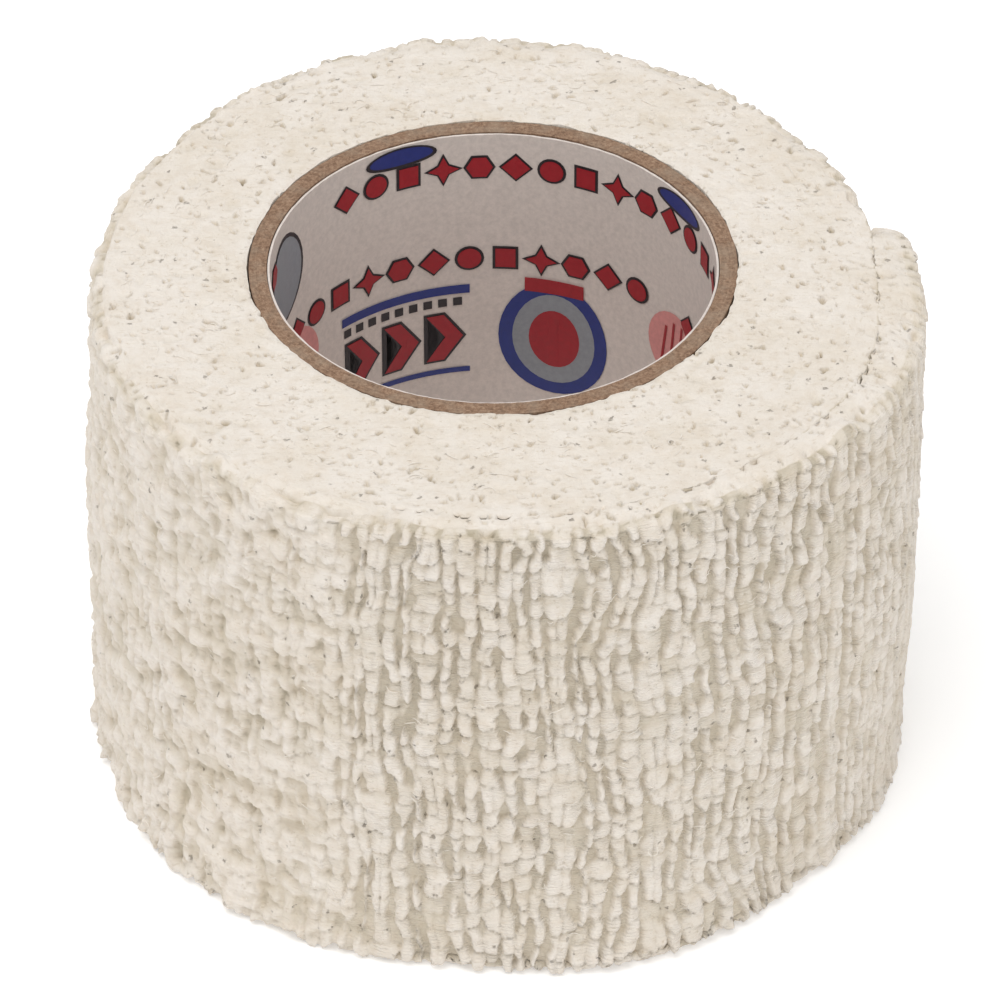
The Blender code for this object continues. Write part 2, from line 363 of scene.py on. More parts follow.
def grid_piece(name, points, closed, facts=None, creases=()):
    """Closed mesh of a grid of columns x rows. Rows run round the section.

    The last column joins the first if closed is true. Otherwise each end is capped.
    Shading breaks along the rows in creases.
    """
    columns, rows = points.shape[:2]
    index = np.arange(columns * rows).reshape(columns, rows)
    ahead = np.roll(index, -1, 0) if closed else index[1:]
    here = index if closed else index[:-1]
    quads = np.stack((here, ahead, np.roll(ahead, -1, 1), np.roll(here, -1, 1)), -1)
    quads = quads.reshape(-1, 4)
    caps = [] if closed else [index[0], index[-1][::-1]]
    corners = np.concatenate([quads.ravel()] + caps)
    sizes = np.concatenate((np.full(len(quads), 4), np.full(len(caps), rows)))
    mesh = bpy.data.meshes.new(name)
    mesh.vertices.add(columns * rows)
    mesh.vertices.foreach_set("co", to_frame(points).ravel())
    mesh.loops.add(len(corners))
    mesh.loops.foreach_set("vertex_index", corners.astype(np.int32))
    mesh.polygons.add(len(sizes))
    starts = np.concatenate(([0], np.cumsum(sizes)[:-1]))
    mesh.polygons.foreach_set("loop_start", starts.astype(np.int32))
    mesh.update(calc_edges=True)
    mesh.shade_smooth()
    for cap in list(mesh.polygons)[len(quads):]:
        cap.use_smooth = False
    unwrap(mesh, columns, rows, len(quads), len(caps))
    ends = np.empty(len(mesh.edges) * 2, dtype=np.int32)
    mesh.edges.foreach_get("vertices", ends)
    row = ends.reshape(-1, 2) % rows
    sharp = (row[:, 0] == row[:, 1]) & np.isin(row[:, 0], list(creases))
    mesh.attributes.new("sharp_edge", "BOOLEAN", "EDGE").data.foreach_set("value", sharp)
    for key, values in (facts or {}).items():
        kind = "FLOAT_VECTOR" if values.ndim == 3 else "FLOAT"
        layer = mesh.attributes.new(key, kind, "POINT")
        field = "vector" if values.ndim == 3 else "value"
        layer.data.foreach_set(field, values.astype(np.float32).ravel())
    piece = bpy.data.objects.new(name, mesh)
    bpy.context.scene.collection.objects.link(piece)
    return piece


def polar(radius, azimuth, z):
    """Points in millimetres from cylindrical coordinates, azimuth in degrees."""
    around = np.radians(azimuth)
    return np.stack((radius * np.cos(around), radius * np.sin(around), z), -1)


def span(start, stop, step):
    """Evenly spaced values from start to stop, both included."""
    return np.linspace(start, stop, int(round(abs(stop - start) / step)) + 1)


def strip_rows():
    """The rows round a strip's section, as columns of a table.

    inward is the distance from the outer face, or -1 on the flat edges, where share goes
    from 0 at the rim to 1 at the inner edge. wall and end say how much of each relief shows.
    """
    rows = []
    half_turn = np.linspace(0.0, math.pi / 2.0, 8)
    flat = np.linspace(0.0, 1.0, 13)[1:]
    height = WIDTH - 2.0 * RIM_RADIUS
    arc = RIM_RADIUS * math.pi / 2.0
    for share in flat[::-1]:
        rows.append((-1.0, share, 0.0, 0.0, -1.0, -arc - share * 1.2, 0.0, 1.0))
    for turn in half_turn[::-1]:
        inward = RIM_RADIUS * (1.0 - math.cos(turn))
        z = RIM_RADIUS * (1.0 - math.sin(turn))
        out, up = math.cos(turn), math.sin(turn)
        rows.append((inward, 0.0, z, out, -up, -turn * RIM_RADIUS, 1.0, up))
    for z in span(RIM_RADIUS, WIDTH - RIM_RADIUS, WALL_STEP)[1:-1]:
        rows.append((0.0, 0.0, z, 1.0, 0.0, z - RIM_RADIUS, 1.0, 0.0))
    for turn in half_turn:
        inward = RIM_RADIUS * (1.0 - math.cos(turn))
        z = WIDTH - RIM_RADIUS * (1.0 - math.sin(turn))
        out, up = math.cos(turn), math.sin(turn)
        rows.append((inward, 0.0, z, out, up, height + turn * RIM_RADIUS, 1.0, up))
    for share in flat:
        rows.append((-1.0, share, WIDTH, 0.0, 1.0, height + arc + share * 1.2, 0.0, 1.0))
    return np.array(rows).T


def outer_strip(name, angles, nose=0):
    """Length of crinkled tape with the cloth's relief outside and on both edges."""
    inward, share, z, out, up, v, wall, end = strip_rows()
    angle = angles[:, None]
    azimuth = angle + FREE_END_AZIMUTH
    on_edge = inward < 0.0
    face = strip_outer(angle) + lean(azimuth, z, angle)
    inner = strip_edge_inner(angle)
    small = np.clip(under_layer(angle) / 2.4, 0.01, 0.14)
    rim_size = small + (1.0 - small) * ease((angle - TIP_REACH) / 6.0)
    low_half = z < WIDTH / 2.0
    tuck = rim_size * np.where(low_half, 0.40, 1.0)
    brim = face - RIM_RADIUS * tuck
    closing = 0.13 * ease((angle - 262.0) / 20.0)
    radius = np.where(on_edge, brim - (brim - inner + closing) * share, face - inward * tuck)
    on_rim = end * (1.0 - on_edge) > 0.0
    z = np.where(on_rim & (z > WIDTH / 2.0), WIDTH - (WIDTH - z) * rim_size, z + 0.0 * angle)
    z = np.where(on_rim & low_half, z * rim_size, z)
    u = angle * ALONG_PER_DEGREE + 0.0 * v
    across = v + 0.0 * angle
    height = crepe(u, across)
    fade = np.where(on_edge, 0.34 * (1.0 - ease(share / 0.45)), 1.0 - np.where(low_half, 0.10, 0.66) * end)
    inboard = ease((z - 1.4) / 1.6) * ease((WIDTH - 1.4 - z) / 1.6)
    hidden = 0.10 + 0.80 * inboard * ease((angle + 60.0) / 15.0)
    fade = fade * (hidden + (1.0 - hidden) * ease((angle + 1.0 - TIP_REACH) / 6.0))
    plain = polar(radius, azimuth, z)
    low = end_relief(plain[..., 0], plain[..., 1])
    shift = -CREPE_DEPTH * (1.0 - height) * fade + low * end
    blunt = 1.0 - ease((angle - FULL_TURN + 2.0) / 3.0)
    wave = 0.30 * noise(u / 2.3, u * 0.0, 71) + 0.20 * noise(u / 0.9, u * 0.0, 72) - 0.12
    wave = np.maximum(wave, -0.34) * blunt
    chunk = -0.75 * ease(noise(u / 1.3, z / 2.0 + 0.0 * u, 73) - 0.15) * end * (1.0 - on_edge)
    shift = shift + chunk * blunt
    flare = 0.75 * (height - 0.62) * ease((2.4 - z) / 2.4) * (1.0 - on_edge)
    shift = shift + flare * ease((angle - TIP_REACH) / 6.0) * out
    rim = np.where(on_edge, 1.0 - ease(share / 0.7), end)
    upper = z > WIDTH / 2.0
    lift = np.where(upper, wave, np.abs(wave)) * rim * ease((angle + 1.0 - TIP_REACH) / 6.0)
    rounded = tip_rounding(angle) * (1.0 - wall * (1.0 - end))
    lift += np.where(upper, -rounded, rounded)
    split = np.where(angle > 0.0, crack(np.maximum(angle, 0.0)) / CRACK_WIDTH, 0.0)
    drop = 0.25 * np.clip(split, 0.0, 1.0) * ease((share - 0.75) / 0.25)
    lift += np.where(upper, -drop, drop)
    radius = radius + shift * out
    height_z = np.maximum(z + shift * up + lift, 0.0)
    inner_wall = np.where(angle < 0.0, inner + 0.03, shown_inner(np.maximum(angle, 0.0)))
    foot_edge, top_edge = height_z[:, :1], height_z[:, -1:]
    lips = []
    near, far = LIP_INSET
    for level in (WIDTH - near, WIDTH - far, WIDTH * 0.66, WIDTH * 0.33, far, near):
        at_edge = level in (WIDTH - near, near)
        room = 0.06 if at_edge else 0.16
        kept = np.clip(level, foot_edge + room, top_edge - room)
        lips.append((inner + 0.02 if at_edge else inner_wall, kept))
    radius = np.concatenate([radius] + [r for r, _ in lips], 1)
    height_z = np.concatenate([height_z] + [kept for _, kept in lips], 1)
    if nose:
        tip = np.arange(nose) / nose
        keep = np.sqrt(1.0 - tip ** 2)[:, None] * 0.8 + 0.2
        against = radius[-nose:].min(1)[:, None]
        radius[-nose:] = against + (radius[-nose:] - against) * keep
        centre = WIDTH / 2.0
        height_z[-nose:] = centre + (height_z[-nose:] - centre) * (1.0 - (1.0 - keep) * 0.01)
    extra = len(lips)
    pad = ((0, 0), (0, extra))
    facts = {
        "flat": np.stack([np.pad(fact, pad, "edge") for fact in (u, across, height * wall)], -1),
        "wall": np.pad(wall * (1.0 - 0.75 * end) * (1.0 - 0.7 * softness(u)), pad, "constant"),
        # low: relief height, with the pits on the flat ends sunk by PIT_SHADE. The cotton paints shade from
        # it, and the added lip rows get 0, the darkest painted shade, where they show in the crack.
        "low": np.pad(np.where(wall > 0.5, height, 1.0) + low * end * PIT_SHADE, pad, "constant"),
    }
    inside, outside = radius.min(1)[:, None], radius.max(1)[:, None]
    off_middle = 2.0 * (radius - inside) / (outside - inside) - 1.0
    plan_round = 2.6 * ease((angle - TAPE_END + 5.0) / 5.0) * off_middle ** 2
    points = polar(radius, azimuth - plan_round, height_z)
    rows = len(share)
    return grid_piece(name, points, False, facts, creases=[0, rows - 1, rows, rows + extra - 1])


def adhesive_film(name, angles):
    """Thin film of adhesive on the inner face of a length of tape, clear of its edges."""
    angle = angles[:, None]
    step = span(0.0, 1.0, 0.05)
    low = 1.0 + tip_rounding(angle)
    z = low + (WIDTH - 2.0 * low) * np.concatenate((step, step[::-1]))[None]
    ripple = 0.015 * noise(angle * 0.9, z / 0.8, 95)
    inward = np.repeat((0.05, 0.15), len(step))[None]
    points = polar(shown_inner(angle) - inward + ripple, angle + FREE_END_AZIMUTH, z)
    return grid_piece(name, points[1:-1], False)


def wound_body():
    """The wound turns as one body: their packed edges show on both flat ends."""
    angles = np.arange(0.0, FULL_TURN, COLUMN_ANGLE)[:, None]
    azimuth = angles + FREE_END_AZIMUTH
    shares = np.linspace(0.0, 1.0, 108)[None]
    edge = body_edge(angles)
    turn = azimuth / FULL_TURN
    ragged = noise(turn * 70.0, turn * 0.0, 81, 70) + 0.6 * noise(turn * 210.0, turn * 0.0, 82, 210)
    inner = CORE_RADIUS + 0.13 + 0.10 * ragged
    radius = inner + (edge - inner) * shares
    flat = polar(radius, azimuth, 0.0 * radius)
    low = end_relief(flat[..., 0], flat[..., 1])
    lip = 0.10 * (1.0 - ease(shares / 0.03))
    split = np.where(angles > 200.0, crack(angles) / CRACK_WIDTH, 0.0)
    drop = 0.25 * np.clip(split, 0.0, 1.0) * ease((shares - 0.985) / 0.015)
    drop = drop * (angles <= FULL_TURN - UNDER_ANGLE) + 0.0
    top = WIDTH + low - lip - drop
    foot_shares = shares[:, ::-1][:, ::2]
    foot_radius = inner + (edge - inner) * foot_shares
    foot_flat = polar(foot_radius, azimuth, 0.0 * foot_radius)
    foot_low = end_relief(foot_flat[..., 0], foot_flat[..., 1])
    foot = np.maximum(-foot_low + 0.10 * (1.0 - ease(foot_shares / 0.03)), 0.0)
    hub = np.full_like(edge, CORE_RADIUS + 0.12)
    parts = [(hub, WIDTH * 0.3), (hub, WIDTH * 0.7), (hub, WIDTH - 0.6)]
    upper_lip = np.minimum(WIDTH - 0.25, top[:, -1:] - 0.06)
    lower_lip = np.maximum(0.25, foot[:, :1] + 0.06)
    lip_radius, wall_radius = edge - 0.02, edge - 0.03
    outside = [(lip_radius, upper_lip), (wall_radius, WIDTH * 0.6)]
    outside += [(wall_radius, WIDTH * 0.4), (lip_radius, lower_lip)]
    columns_r = [r for r, _ in parts] + [radius] + [r for r, _ in outside] + [foot_radius] + [hub]
    columns_z = [r * 0.0 + z for r, z in parts] + [top] + [r * 0.0 + z for r, z in outside]
    columns_z += [foot, hub * 0.0 + 0.6]
    radius_all = np.concatenate(columns_r, 1)[:, ::-1]
    z_all = np.concatenate(columns_z, 1)[:, ::-1]
    points = polar(radius_all, azimuth, z_all)
    # low for the cotton's painted shade: the top and foot darken in their pits, and the hub rows and the
    # lips by the crack get 0, the darkest painted shade.
    blank = [r * 0.0 for r, _ in parts]
    blank_outside = [r * 0.0 for r, _ in outside]
    lows = blank + [1.0 + low * PIT_SHADE] + blank_outside + [1.0 + foot_low * PIT_SHADE, hub * 0.0]
    facts = {
        "flat": np.stack((points[..., 0], points[..., 1], 0.0 * z_all), -1),
        "wall": 0.0 * z_all,
        "low": np.concatenate(lows, 1)[:, ::-1],
    }
    count = shares.shape[1]
    foot_count = foot_shares.shape[1]
    rows = np.cumsum([len(parts), count, len(outside), foot_count]) - 1
    ends = [rows[0] + 1, rows[1], rows[2] + 1, rows[3]]
    last = points.shape[1] - 1
    return grid_piece("wound_turns_cloth", points, True, facts, creases=[last - row for row in ends])


# ---------------------------------------------------------------- materials


def srgb(red, green, blue):
    """Linear colour of an sRGB one given from 0 to 255."""
    values = []
    for channel in (red, green, blue):
        share = channel / 255.0
        values.append(share / 12.92 if share <= 0.04045 else ((share + 0.055) / 1.055) ** 2.4)
    return (*values, 1.0)


class Nodes:
    """A material's node tree, with short calls for the nodes used here."""

    def __init__(self, name, roughness):
        self.material = bpy.data.materials.new(name)
        self.material.use_nodes = True
        self.tree = self.material.node_tree
        self.shader = self.tree.nodes["Principled BSDF"]
        self.shader.inputs["Roughness"].default_value = roughness

    def add(self, kind, **settings):
        node = self.tree.nodes.new(kind)
        for key, value in settings.items():
            setattr(node, key, value)
        return node

    def link(self, source, target):
        self.tree.links.new(source, target)

    def fact(self, key):
        return self.add("ShaderNodeAttribute", attribute_name=key)

    def position(self, scale=(1000.0, 1000.0, 1000.0)):
        source = self.add("ShaderNodeTexCoord").outputs["Object"]
        return self.scaled(source, scale)

    def scaled(self, source, scale):
        node = self.add("ShaderNodeVectorMath", operation="MULTIPLY")
        self.link(source, node.inputs[0])
        node.inputs[1].default_value = scale
        return node.outputs[0]

    def noise(self, vector, scale, detail=3.0, roughness=0.6):
        node = self.add("ShaderNodeTexNoise")
        self.link(vector, node.inputs["Vector"])
        node.inputs["Scale"].default_value = scale
        node.inputs["Detail"].default_value = detail
        node.inputs["Roughness"].default_value = roughness
        return node.outputs["Fac"]

    def ramp(self, source, *stops):
        node = self.add("ShaderNodeValToRGB")
        elements = node.color_ramp.elements
        while len(elements) < len(stops):
            elements.new(0.5)
        for element, (place, colour) in zip(elements, stops):
            element.position = place
            element.color = colour if hasattr(colour, "__len__") else (colour, colour, colour, 1.0)
        self.link(source, node.inputs["Fac"])
        return node.outputs["Color"]

    def math(self, operation, first, second=None, third=None):
        node = self.add("ShaderNodeMath", operation=operation)
        for socket, value in zip(node.inputs, (first, second, third)):
            if value is None:
                continue
            if isinstance(value, (int, float)):
                socket.default_value = value
            else:
                self.link(value, socket)
        return node.outputs[0]

    def mix(self, share, first, second, blend="MIX"):
        node = self.add("ShaderNodeMix", data_type="RGBA", blend_type=blend)
        for socket, value in ((node.inputs[0], share), (node.inputs[6], first), (node.inputs[7], second)):
            if isinstance(value, (int, float, tuple)):
                socket.default_value = value
            else:
                self.link(value, socket)
        return node.outputs[2]

    def bump(self, height, distance, strength=1.0, normal=None):
        node = self.add("ShaderNodeBump")
        self.link(height, node.inputs["Height"])
        node.inputs["Distance"].default_value = distance
        node.inputs["Strength"].default_value = strength
        if normal is not None:
            self.link(normal, node.inputs["Normal"])
        return node.outputs["Normal"]


# Cotton colours by relief height: the first is painted shade at the bottom of the gaps, pits and crack, the
# middle one partly painted shade, the last the crowns' own colour.
COTTON_GAP_SHADE = srgb(186, 176, 156)
COTTON_MIDDLE = srgb(220, 210, 194)
COTTON_CROWN = srgb(236, 228, 218)


def cotton(name):
    """Undyed crepe cotton: threads across the beads and pinholes; painted shade makes it darker and warmer
    in the gaps, pits, crack, pinholes and between strands.
    """
    nodes = Nodes(name, 0.92)
    low = nodes.fact("low").outputs["Fac"]
    wall = nodes.fact("wall").outputs["Fac"]
    flat = nodes.fact("flat").outputs["Vector"]
    place = nodes.position()
    # low is the relief height: this ramp paints shade into the gaps, pits and crack.
    colour = nodes.ramp(low, (0.0, COTTON_GAP_SHADE), (0.42, COTTON_MIDDLE), (0.92, COTTON_CROWN))
    tint = nodes.noise(place, 0.22, 2.0)
    tinted = nodes.ramp(tint, (0.40, 0.0), (0.75, 0.45))
    colour = nodes.mix(tinted, colour, srgb(240, 234, 222), "MULTIPLY")
    mottle = nodes.noise(place, 1.3, 4.0)
    mottled = nodes.ramp(mottle, (0.45, 0.0), (0.75, 0.5))
    colour = nodes.mix(mottled, colour, srgb(238, 231, 222), "MULTIPLY")
    strands = nodes.noise(nodes.scaled(flat, (1.3, 6.5, 1.0)), 1.0, 3.0, 0.55)
    fine = nodes.noise(place, 2.3, 3.0, 0.6)
    frayed = nodes.ramp(fine, (0.28, 0.45), (0.38, 0.0))
    colour = nodes.mix(frayed, colour, srgb(214, 204, 186), "MULTIPLY")
    # Painted shade between the strands, where their bump sinks.
    between = nodes.ramp(strands, (0.30, 0.35), (0.42, 0.0))
    colour = nodes.mix(between, colour, srgb(222, 213, 198), "MULTIPLY")
    threads = nodes.add("ShaderNodeTexWave", bands_direction="Y")
    nodes.link(flat, threads.inputs["Vector"])
    threads.inputs["Scale"].default_value = 1.25
    threads.inputs["Distortion"].default_value = 2.6
    threads.inputs["Detail"].default_value = 2.0
    threads.inputs["Detail Scale"].default_value = 1.6
    shown = nodes.ramp(nodes.noise(place, 0.9, 2.0), (0.38, 0.15), (0.62, 1.0))
    threads = nodes.math("MULTIPLY", threads.outputs["Fac"], shown)
    fibres = nodes.noise(place, 5.5, 5.0, 0.7)
    specks = nodes.add("ShaderNodeTexVoronoi", feature="F1")
    bent = nodes.add("ShaderNodeTexNoise")
    nodes.link(place, bent.inputs["Vector"])
    bent.inputs["Scale"].default_value = 2.6
    bent.inputs["Detail"].default_value = 2.0
    moved = nodes.add("ShaderNodeVectorMath", operation="MULTIPLY_ADD")
    nodes.link(bent.outputs["Color"], moved.inputs[0])
    moved.inputs[1].default_value = (0.75, 0.75, 0.75)
    nodes.link(place, moved.inputs[2])
    nodes.link(moved.outputs[0], specks.inputs["Vector"])
    specks.inputs["Scale"].default_value = 0.85
    hole = nodes.ramp(specks.outputs["Distance"], (0.06, 1.0), (0.15, 0.0))
    keep = nodes.ramp(specks.outputs["Color"], (0.45, 0.0), (0.49, 1.0))
    holes = nodes.math("MULTIPLY", hole, keep)
    holes = nodes.math("MULTIPLY", holes, 0.6)
    # Painted shade: the pinholes, sunk in the bump below, are coloured dark brown.
    colour = nodes.mix(holes, colour, srgb(112, 98, 78))
    nodes.link(colour, nodes.shader.inputs["Base Color"])
    ridges = nodes.math("MULTIPLY", nodes.math("MULTIPLY", threads, wall), 0.62)
    surface = nodes.math("MULTIPLY_ADD", fibres, 0.9, ridges)
    drawn = nodes.math("MULTIPLY_ADD", wall, 0.36, 0.08)
    surface = nodes.math("MULTIPLY_ADD", strands, drawn, surface)
    surface = nodes.math("MULTIPLY_ADD", holes, -1.4, surface)
    nodes.link(nodes.bump(surface, 0.00011, 1.0), nodes.shader.inputs["Normal"])
    rough = nodes.ramp(mottle, (0.3, 0.86), (0.7, 0.98))
    nodes.link(rough, nodes.shader.inputs["Roughness"])
    nodes.shader.inputs["Sheen Weight"].default_value = 0.12
    nodes.shader.inputs["Sheen Roughness"].default_value = 0.5
    nodes.shader.inputs["Specular IOR Level"].default_value = 0.25
    return nodes.material


def board(name):
    """Recycled kraft board: brown-grey with pale and dark specks, its layers showing as rings."""
    nodes = Nodes(name, 0.88)
    place = nodes.position()
    fine = nodes.noise(place, 4.0, 5.0, 0.75)
    dark, middle, pale = srgb(108, 81, 62), srgb(149, 119, 95), srgb(184, 155, 131)
    colour = nodes.ramp(fine, (0.32, dark), (0.52, middle), (0.72, pale))
    patches = nodes.noise(place, 0.55, 3.0)
    colour = nodes.mix(nodes.ramp(patches, (0.45, 0.0), (0.7, 0.5)), colour, srgb(161, 145, 127))
    centred = nodes.add("ShaderNodeVectorMath", operation="SUBTRACT")
    nodes.link(place, centred.inputs[0])
    centred.inputs[1].default_value = (AXIS_X / MM, AXIS_Y / MM, 0.0)
    radius = nodes.add("ShaderNodeVectorMath", operation="LENGTH")
    nodes.link(nodes.scaled(centred.outputs[0], (1.0, 1.0, 0.0)), radius.inputs[0])
    rings = nodes.add("ShaderNodeTexNoise", noise_dimensions="1D")
    nodes.link(radius.outputs["Value"], rings.inputs["W"])
    rings.inputs["Scale"].default_value = 3.6
    rings.inputs["Detail"].default_value = 2.0
    layers = nodes.ramp(rings.outputs["Fac"], (0.40, 0.42), (0.56, 0.0))
    colour = nodes.mix(layers, colour, srgb(198, 186, 176), "MULTIPLY")
    nodes.link(colour, nodes.shader.inputs["Base Color"])
    nodes.link(nodes.bump(fine, 0.00012, 0.8), nodes.shader.inputs["Normal"])
    nodes.link(nodes.ramp(patches, (0.3, 0.80), (0.7, 0.95)), nodes.shader.inputs["Roughness"])
    return nodes.material


def paper(name, colour, roughness=0.55):
    """Smooth white paper with faint fibres, or ink of one colour printed on it."""
    nodes = Nodes(name, roughness)
    place = nodes.position()
    fibres = nodes.noise(place, 2.6, 4.0, 0.65)
    darker = tuple(channel * 0.86 for channel in colour[:3]) + (1.0,)
    nodes.link(nodes.ramp(fibres, (0.35, darker), (0.65, colour)), nodes.shader.inputs["Base Color"])
    nodes.link(nodes.bump(fibres, 0.00002, 0.5), nodes.shader.inputs["Normal"])
    rough = nodes.ramp(fibres, (0.3, roughness - 0.06), (0.7, roughness + 0.08))
    nodes.link(rough, nodes.shader.inputs["Roughness"])
    return nodes.material


def adhesive(name):
    """Tacky adhesive: pale tan, slightly glossy, with a fine pebble."""
    nodes = Nodes(name, 0.42)
    place = nodes.position()
    pebble = nodes.noise(place, 2.2, 4.0, 0.6)
    colour = nodes.ramp(pebble, (0.35, srgb(206, 190, 158)), (0.7, srgb(232, 220, 194)))
    nodes.link(colour, nodes.shader.inputs["Base Color"])
    nodes.link(nodes.bump(pebble, 0.00008, 0.8), nodes.shader.inputs["Normal"])
    nodes.link(nodes.ramp(pebble, (0.3, 0.34), (0.7, 0.55)), nodes.shader.inputs["Roughness"])
    return nodes.material


def finish(piece, material, body):
    """Gives a piece its material and slot, and sets it on its body."""
    piece.data.materials.clear()
    piece.data.materials.append(material)
    if body:
        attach(piece, body)
    return piece


# ---------------------------------------------------------------- core, lining and print


def tube(name, inner, outer, foot, top, rough, seed):
    """Thin upright tube, its two ends slightly rough."""
    azimuth = np.arange(0.0, FULL_TURN, 0.75)[:, None]
    wall = span(foot + 0.3, top - 0.3, 1.5)
    ends = np.linspace(0.0, 1.0, 4)[1:-1]
    radii = [inner] + list(inner + (outer - inner) * ends) + [outer]
    profile = [(r, foot, 1.0) for r in radii]
    profile += [(outer, z, 0.0) for z in wall]
    profile += [(r, top, 1.0) for r in radii[::-1]]
    profile += [(inner, z, 0.0) for z in wall[::-1]]
    radius, z, at_end = (np.array(column)[None] for column in zip(*profile))
    turn = azimuth / FULL_TURN
    jagged = noise(turn * 240.0, radius * 2.5, seed, 240)
    jagged = jagged + 0.7 * noise(turn * 90.0, radius * 0.8, seed + 1, 90)
    inside = np.where(z > (foot + top) / 2.0, -1.0, 1.0)
    z = z + at_end * rough * inside * (0.8 + 0.5 * jagged)
    bow = 0.03 * noise(turn * 9.0, z / 9.0, 93, 9)
    ring = len(radii)
    corners = [0, ring - 1, ring + len(wall), 2 * ring + len(wall) - 1]
    return grid_piece(name, polar(radius + bow, azimuth, z), True, creases=corners)


def outline(s, z, half_width, half_height, sides, turn=0.0, squeeze=1.0):
    """A regular outline of so many sides round (s, z) on the unrolled lining."""
    around = np.radians(turn) + 2.0 * math.pi * np.arange(sides) / sides
    return np.stack((s + half_width * np.cos(around) * squeeze, z + half_height * np.sin(around)), -1)


def box(s0, z0, s1, z1, slant=0.0):
    """A bar on the unrolled lining, its top shifted along by slant."""
    return np.array(((s0, z0), (s1, z0), (s1 + slant, z1), (s0 + slant, z1)))


def star(s, z, size, points=4, waist=0.45):
    """A star of so many points round (s, z)."""
    around = math.pi / 2.0 + math.pi * np.arange(2 * points) / points
    far = np.where(np.arange(2 * points) % 2, waist, 1.0) * size
    return np.stack((s + far * np.cos(around), z + far * np.sin(around)), -1)


def chevron(s, z, back, shoulder, point, notch, half_height):
    """An arrowhead pointing along the lining, its distances taken from s."""
    foot = [(s + back, z - half_height), (s + shoulder, z - half_height), (s + point, z)]
    head = [(s + shoulder, z + half_height), (s + back, z + half_height), (s + notch, z)]
    return np.array(foot + head)


def ink(name, shapes, layer, material):
    """Flat outlines printed on the lining's inner face, as a film laid over what is under it."""
    film = bmesh.new()
    for shape in shapes:
        film.faces.new([film.verts.new((s, z, 0.0)) for s, z in shape])
    bmesh.ops.triangulate(film, faces=film.faces[:])
    for s in np.arange(-48.0, 48.0, 0.8):
        everything = film.verts[:] + film.edges[:] + film.faces[:]
        bmesh.ops.bisect_plane(film, geom=everything, plane_co=(s, 0.0, 0.0), plane_no=(1.0, 0.0, 0.0))
    radius = LINER_RADIUS - 0.035 - 0.016 * layer
    for vert in film.verts:
        s, z = vert.co.x, vert.co.y
        around = math.radians(90.0) - s / LINER_RADIUS
        vert.co = (AXIS_X + radius * MM * math.cos(around), AXIS_Y + radius * MM * math.sin(around), z * MM)
    bmesh.ops.recalc_face_normals(film, faces=film.faces)
    mesh = bpy.data.meshes.new(name)
    film.to_mesh(mesh)
    film.free()
    piece = bpy.data.objects.new(name, mesh)
    bpy.context.scene.collection.objects.link(piece)
    thick = piece.modifiers.new("film", "SOLIDIFY")
    thick.thickness = 0.008 * MM
    thick.offset = 0.0
    return finish(piece, material, ROLL)


def ornaments(start, count, z, pitch=2.58, tall=1.02):
    """A row of plain ornaments, as (dark outlines, red fillings)."""
    dark, red = [], []
    for n in range(count):
        s = start + pitch * n
        for shapes, grow in ((dark, 0.20), (red, 0.0)):
            kind = n % 5
            if kind == 0:
                shapes.append(outline(s, z, 1.02 + grow, tall + grow, 4))
            elif kind == 1:
                shapes.append(outline(s, z, 0.86 + grow, 0.86 + grow, 20))
            elif kind == 2:
                shapes.append(box(s - 0.72 - grow, z - 0.80 - grow, s + 0.72 + grow, z + 0.80 + grow))
            elif kind == 3:
                shapes.append(star(s, z, 1.12 + grow * 1.5))
            else:
                shapes.append(outline(s, z, 0.95 + grow, 0.95 + grow, 6))
    return dark, red


def print_on_lining():
    """Generic ornaments in the colours of a printed lining: no lettering and no figure."""
    dark, red, blue, grey, pink = [], [], [], [], []
    rows = [(-11.3, 14, 35.05), (-17.2, 12, 27.1), (-45.0, 10, 35.05)]
    rows += [(17.0, 11, 27.1), (29.0, 7, 35.05)]
    for start, count, z in rows:
        more_dark, more_red = ornaments(start, count, z)
        dark += more_dark
        red += more_red
    for left in (-11.9, -42.5, 26.5):
        blue += [box(left, 24.05, left + 10.2, 24.8), box(left, 17.0, left + 10.2, 17.45)]
        for n in range(3):
            s = left + 0.4 + 3.3 * n
            red.append(chevron(s, 20.3, 0.0, 1.3, 2.7, 1.4, 2.0))
            dark.append(chevron(s, 20.3, -0.18, 1.4, 2.95, 1.18, 2.2))
        for n in range(9):
            dark.append(box(left + 0.2 + 1.1 * n, 23.0, left + 0.85 + 1.1 * n, 23.7))
    for s in (4.45, 40.0, -27.5):
        blue.append(outline(s, 20.3, 4.1, 4.9, 36))
        grey.append(outline(s, 20.3, 3.1, 3.9, 32))
        red.append(outline(s, 20.3, 1.9, 2.5, 28))
        red.append(box(s - 2.2, 24.3, s + 2.2, 25.5))
    for s in (15.5, -17.6):
        pink.append(outline(s, 24.0, 3.2, 3.2, 30))
    for s in (-6.75, 15.7, 41.0, -33.0):
        dark.append(outline(s, 36.85, 2.75, 0.86, 26))
        blue.append(outline(s, 36.9, 2.45, 0.66, 26))
    for s in (-19.3, 25.8):
        dark.append(outline(s, 32.9, 3.2, 3.7, 28))
        grey.append(outline(s, 32.9, 2.9, 3.4, 28))
        blue.append(outline(s, 30.9, 1.6, 1.1, 20))
    bars = ((-1.9, 1.7), (-1.0, 2.4), (0.0, 2.6), (0.9, 2.2))
    hatch = [box(15.5 + d, 24.0 - h, 15.75 + d, 24.0 + h, 0.5) for d, h in bars]
    ink("print_pink", pink, 0, paper("ink_pink", srgb(222, 150, 146)))
    ink("print_dark", dark, 0, paper("ink_dark", srgb(44, 38, 42), 0.42))
    ink("print_blue", blue, 1, paper("ink_blue", srgb(38, 52, 128), 0.42))
    ink("print_grey", grey, 2, paper("ink_grey", srgb(148, 152, 158), 0.45))
    ink("print_red", red + hatch, 3, paper("ink_red", srgb(164, 28, 40), 0.42))


# ---------------------------------------------------------------- broken threads


THREAD_RADIUS = 0.032
THREAD_RINGS = 7


